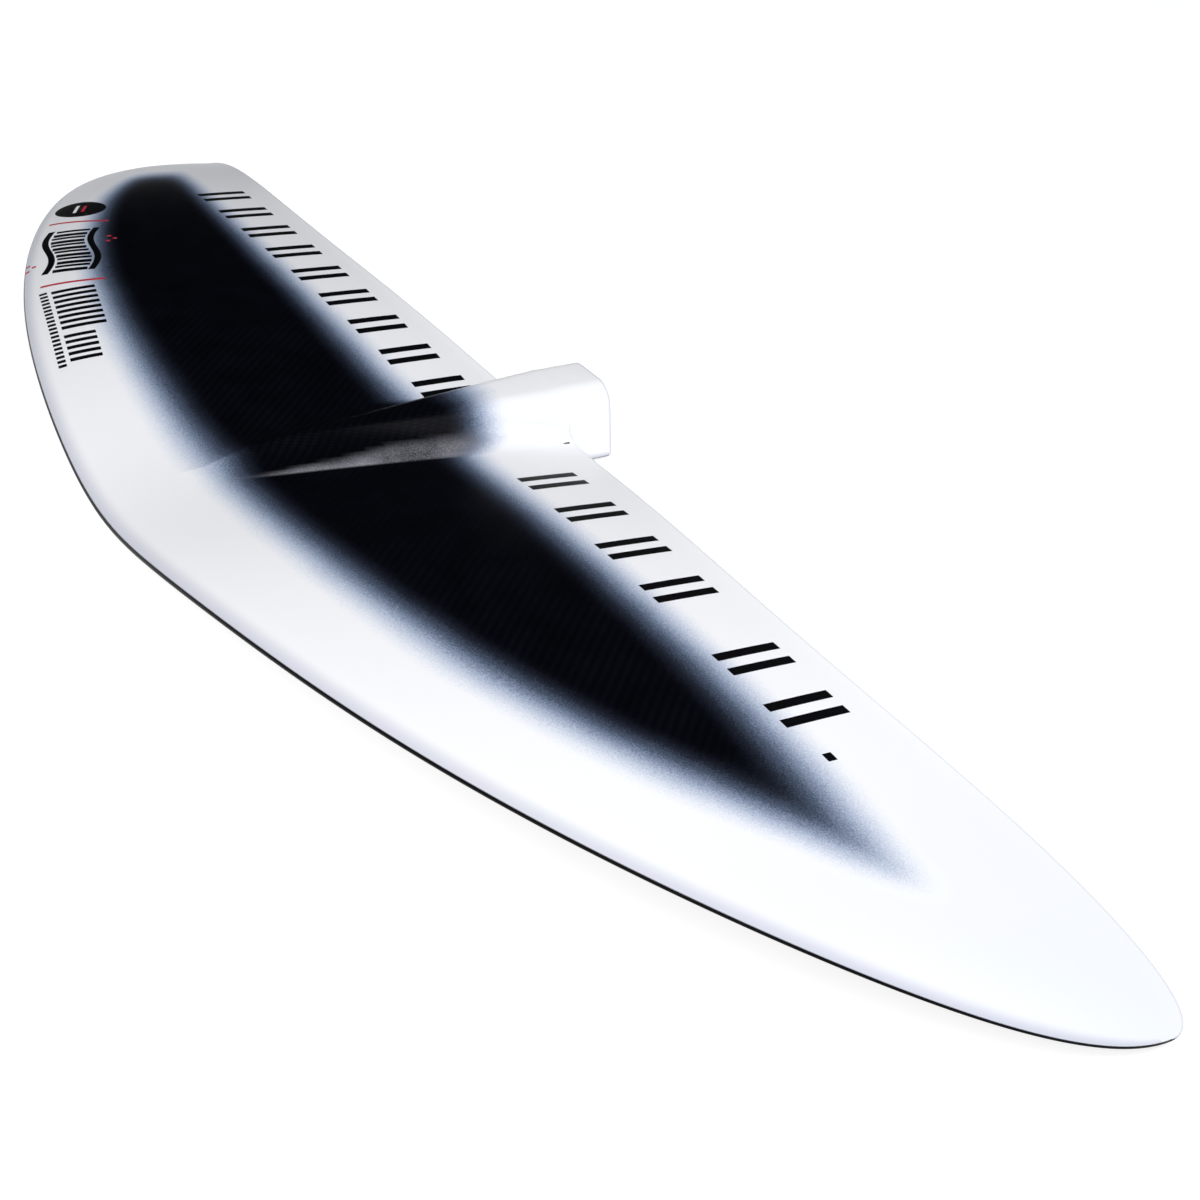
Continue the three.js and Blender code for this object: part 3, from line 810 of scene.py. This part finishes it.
def faded_color(nodes, cover, white, carbon, cloud):
    """White paint that thins out over carbon, with overspray and a painted reflection in the hub's
    fillet.
    """
    mist = nodes.ramp(cover, FADE)
    color = nodes.mix(nodes.spread(cover, 0.0, 0.12), white, mist)
    color = nodes.mix(nodes.spread(cover, 0.6, 0.95), color, carbon)
    speckle = nodes.spread(nodes.math("ADD", nodes.noise(*AIRBRUSH), cloud), 0.25, 0.75)
    # the fillet's lighter grey band: overspray and a painted reflection
    haze_and_reflection = nodes.math("MULTIPLY", nodes.attribute("haze_and_reflection"), speckle)
    return nodes.mix(nodes.math("MULTIPLY", haze_and_reflection, cover), color, HAZE_AND_REFLECTION)


def upper_paint():
    """White lacquer that is airbrushed away to bare carbon, with a blue cast where it is thin."""
    nodes = Nodes("white_fade_paint")
    grain = nodes.math("MULTIPLY", nodes.centred_noise(*AIRBRUSH), 15.0)
    cloud = nodes.centred_noise(35, 2)
    moved = nodes.math("ADD", nodes.attribute("window"), grain)
    moved = nodes.math("ADD", moved, nodes.math("MULTIPLY", cloud, 3.0))
    cover = nodes.spread(moved, -20.0, 26.0)
    carbon, weave = carbon_color(nodes)
    color = faded_color(nodes, cover, white_color(nodes), carbon, cloud)
    nodes.link(edge_shade_and_black_lines(nodes, color), "Base Color")
    nodes.uneven_roughness(nodes.noise(30, 1), 0.3, 0.34)
    nodes.link(nodes.spread(cover, 0.2, 0.6, 0.12, 0.03), "Specular IOR Level")
    peel = nodes.math("MULTIPLY", nodes.noise(300, 1), 0.2)
    shown = nodes.math("MULTIPLY", weave, nodes.spread(cover, 0.6, 1.0, 0.0, 0.6))
    nodes.bump(nodes.math("ADD", peel, shown), 0.2, 0.03 * MM)
    nodes.set(IOR=1.45)
    return nodes.material


def lower_paint():
    """Black lacquer over fine carbon, that turns white round the hub's tail."""
    nodes = Nodes("black_paint")
    carbon, weave = carbon_color(nodes)
    grain = nodes.math("MULTIPLY", nodes.centred_noise(*AIRBRUSH), 3.0)
    place = nodes.math("ADD", nodes.attribute("aft"), grain)
    white = edge_shade_and_black_lines(nodes, white_color(nodes))
    tail = nodes.spread(place, -3.0, 2.5, smooth=True)
    nodes.link(nodes.mix(tail, carbon, white), "Base Color")
    nodes.uneven_roughness(nodes.noise(30, 1), 0.29, 0.33)
    ripple = nodes.math("ADD", nodes.noise(420, 2), nodes.math("MULTIPLY", weave, 0.4))
    nodes.bump(ripple, 0.2, 0.03 * MM)
    nodes.set(IOR=1.45, Specular_IOR_Level=0.1)
    return nodes.material


def ink(name, color):
    """Flat printed ink with faint unevenness."""
    nodes = Nodes(name)
    worn = tuple(min(1, c * 1.25 + 0.001) for c in color)
    nodes.link(nodes.mix(nodes.spread(nodes.noise(500, 4, 0.6), 0.4, 0.75), color, worn), "Base Color")
    nodes.uneven_roughness(nodes.noise(60, 1), 0.32, 0.4)
    nodes.bump(nodes.noise(900, 2), 0.1, 0.02 * MM)
    nodes.set(Specular_IOR_Level=0.08)
    return nodes.material


def bare_carbon():
    """Unpainted twill, as it comes from the mould."""
    nodes = Nodes("bare_carbon")
    over, height = twill(nodes, CARBON_TOW)
    shade = nodes.math("MULTIPLY", height, nodes.spread(over, 0, 1, 0.5, 1.0))
    nodes.link(nodes.mix(shade, (0.008, 0.008, 0.01), (0.035, 0.037, 0.042)), "Base Color")
    nodes.uneven_roughness(nodes.noise(400, 3), 0.35, 0.5)
    nodes.bump(height, 0.4, 0.1 * MM)
    return nodes.material


def foam_material():
    """Tan closed-cell foam."""
    nodes = Nodes("structural_foam")
    cells = nodes.tree.nodes.new("ShaderNodeTexVoronoi")
    cells.inputs["Scale"].default_value = 900
    nodes.put(cells.inputs["Vector"], nodes.place)
    color = nodes.mix(cells.outputs["Distance"], (0.62, 0.5, 0.3), (0.8, 0.7, 0.48))
    nodes.link(color, "Base Color")
    nodes.bump(cells.outputs["Distance"], 0.5, 0.3 * MM)
    nodes.set(Roughness=0.9)
    return nodes.material


def filler_material():
    """Dark epoxy with pale specks of filler."""
    nodes = Nodes("epoxy_filler")
    speck = nodes.noise(1200, 4, 0.7)
    color = nodes.mix(nodes.spread(speck, 0.45, 0.7), (0.03, 0.034, 0.04), (0.09, 0.1, 0.11))
    nodes.link(color, "Base Color")
    nodes.uneven_roughness(nodes.noise(150, 3), 0.5, 0.7)
    nodes.bump(speck, 0.3, 0.1 * MM)
    return nodes.material


def turned_steel():
    """Stainless steel with fine rings from the lathe."""
    nodes = Nodes("turned_steel")
    rings = nodes.noise(9000, 2, 0.6, stretch=(0.05, 0.05, 1.0))
    nodes.link(nodes.mix(rings, (0.5, 0.51, 0.52), (0.72, 0.73, 0.74)), "Base Color")
    nodes.uneven_roughness(rings, 0.2, 0.34)
    nodes.bump(rings, 0.15, 0.02 * MM)
    nodes.set(Metallic=1.0)
    return nodes.material


def floor_material():
    """Pale paper, lit up a little so that the ground stays white."""
    nodes = Nodes("studio_floor")
    nodes.link(nodes.mix(nodes.noise(3, 3), (0.43, 0.43, 0.435), (0.47, 0.47, 0.47)), "Base Color")
    nodes.set(Roughness=0.9, Specular_IOR_Level=0.1)
    nodes.set(Emission_Color=(1, 1, 1, 1), Emission_Strength=0.84)
    return nodes.material


# ---- Build ----
def add_piece(piece, material, slot, *nodes):
    """Gives a piece its material, rides it on the wing and hides the nodes it replaces; the slot is not
    used.
    """
    piece.data.materials.append(material)
    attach(piece, "root")
    if nodes:
        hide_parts(*nodes)


def make_shells():
    upper = skin("upper_shell", True)
    paint_layout(upper)
    add_piece(upper, upper_paint(), "white_paint", "upper_skin")
    lower = skin("lower_shell", False)
    cut_screw_recesses(lower)
    paint_layout(lower)
    add_piece(lower, lower_paint(), "black_paint", "lower_skin")


def make_marks():
    black, red, white = MarkSheet(), MarkSheet(), MarkSheet()
    edge_marks(black)
    tip_label(black, red, white)
    add_piece(black.make("black_marks"), ink("black_ink", (0.002, 0.002, 0.003)), "black_paint")
    add_piece(red.make("red_marks"), ink("red_ink", (0.42, 0.03, 0.045)), "black_paint")
    add_piece(white.make("white_marks"), ink("white_ink", (0.8, 0.81, 0.84)), "white_paint")


def repaint(node, material):
    mesh = frame["nodes"][node].data
    mesh.materials.clear()
    mesh.materials.append(material)
    mesh.shade_smooth()
    mesh.set_sharp_from_angle(angle=math.radians(30))


def repaint_inside():
    """Gives the hidden nodes that are carried over from the solids their materials."""
    made_of = {
        "carbon": bare_carbon(),
        "foam": foam_material(),
        "filler": filler_material(),
        "stainless": turned_steel(),
    }
    for part in frame["record"]["subparts"]:
        if part["material_slot"] in made_of:
            repaint(part["node"], made_of[part["material_slot"]])


# ---- Floor, light and camera ----
FLOOR_SIZE = 40.0
FLOOR_DROP = 0.0005
LIGHT_COLOR = (1.0, 0.99, 0.98)
DAYLIGHT_COLOR = (0.93, 0.96, 1.0, 1)
CAMERA_AZIMUTH = math.radians(56.237)
CAMERA_ELEVATION = math.radians(31.864)
CAMERA_ROLL = math.radians(4.974)
CAMERA_PLACE = (0.6159, -0.28235, 0.3674)
CAMERA_LENS = 53.02


def make_floor():
    shape = bmesh.new()
    bmesh.ops.create_grid(shape, x_segments=8, y_segments=8, size=FLOOR_SIZE)
    mesh = bpy.data.meshes.new("floor")
    shape.to_mesh(mesh)
    shape.free()
    floor = bpy.data.objects.new("floor", mesh)
    floor.location.z = -FLOOR_DROP
    bpy.context.scene.collection.objects.link(floor)
    floor.data.materials.append(floor_material())


def softbox(name, place, size, power):
    """A soft lamp that is turned to the left wing, just beside the hub."""
    light = bpy.data.lights.new(name, "AREA")
    light.shape = "RECTANGLE"
    light.size, light.size_y = size
    light.energy = power
    light.color = LIGHT_COLOR
    lamp = bpy.data.objects.new(name, light)
    lamp.location = place
    aim = Vector((0.1, 0, 0)) - Vector(place)
    lamp.rotation_euler = aim.to_track_quat("-Z", "Y").to_euler()
    bpy.context.scene.collection.objects.link(lamp)


def make_world():
    """Soft daylight from the left wing's side, a dark room on the other, and a pale backdrop."""
    world = bpy.data.worlds.new("studio")
    world.use_nodes = True
    tree = world.node_tree
    place = tree.nodes.new("ShaderNodeTexCoord")
    split = tree.nodes.new("ShaderNodeSeparateXYZ")
    tree.links.new(place.outputs["Generated"], split.inputs[0])
    daylight = tree.nodes.new("ShaderNodeMapRange")
    daylight.interpolation_type = "SMOOTHSTEP"
    for socket, value in zip(daylight.inputs, (0, -0.5, 0.6, 0.015, 0.4)):
        socket.default_value = value
    tree.links.new(split.outputs["X"], daylight.inputs["Value"])
    seen = tree.nodes.new("ShaderNodeLightPath").outputs["Is Camera Ray"]
    strength = tree.nodes.new("ShaderNodeMix")
    tree.links.new(seen, strength.inputs["Factor"])
    tree.links.new(daylight.outputs[0], strength.inputs["A"])
    strength.inputs["B"].default_value = 1.0
    background = tree.nodes["Background"]
    background.inputs["Color"].default_value = DAYLIGHT_COLOR
    tree.links.new(strength.outputs[0], background.inputs["Strength"])
    bpy.context.scene.world = world


def make_camera():
    back = Vector((
        math.sin(CAMERA_AZIMUTH) * math.cos(CAMERA_ELEVATION),
        -math.cos(CAMERA_AZIMUTH) * math.cos(CAMERA_ELEVATION),
        math.sin(CAMERA_ELEVATION),
    ))
    level = Vector((0, 0, 1)).cross(back).normalized()
    upright = back.cross(level)
    right = level * math.cos(CAMERA_ROLL) + upright * math.sin(CAMERA_ROLL)
    up = upright * math.cos(CAMERA_ROLL) - level * math.sin(CAMERA_ROLL)
    data = bpy.data.cameras.new("camera")
    data.lens = CAMERA_LENS
    data.sensor_width = 36.0
    data.clip_start = 0.01
    camera = bpy.data.objects.new("camera", data)
    turn = Matrix((right, up, back)).transposed().to_4x4()
    camera.matrix_world = Matrix.Translation(CAMERA_PLACE) @ turn
    bpy.context.scene.collection.objects.link(camera)
    bpy.context.scene.camera = camera


make_shells()
make_marks()
repaint_inside()
make_floor()
make_world()
softbox("key", (0.56, 0.32, 0.86), (0.6, 0.6), 7.1)
softbox("front_fill", (0.35, -1.1, 1.1), (1.2, 0.8), 13)
make_camera()
bpy.context.scene.view_settings.view_transform = "Standard"
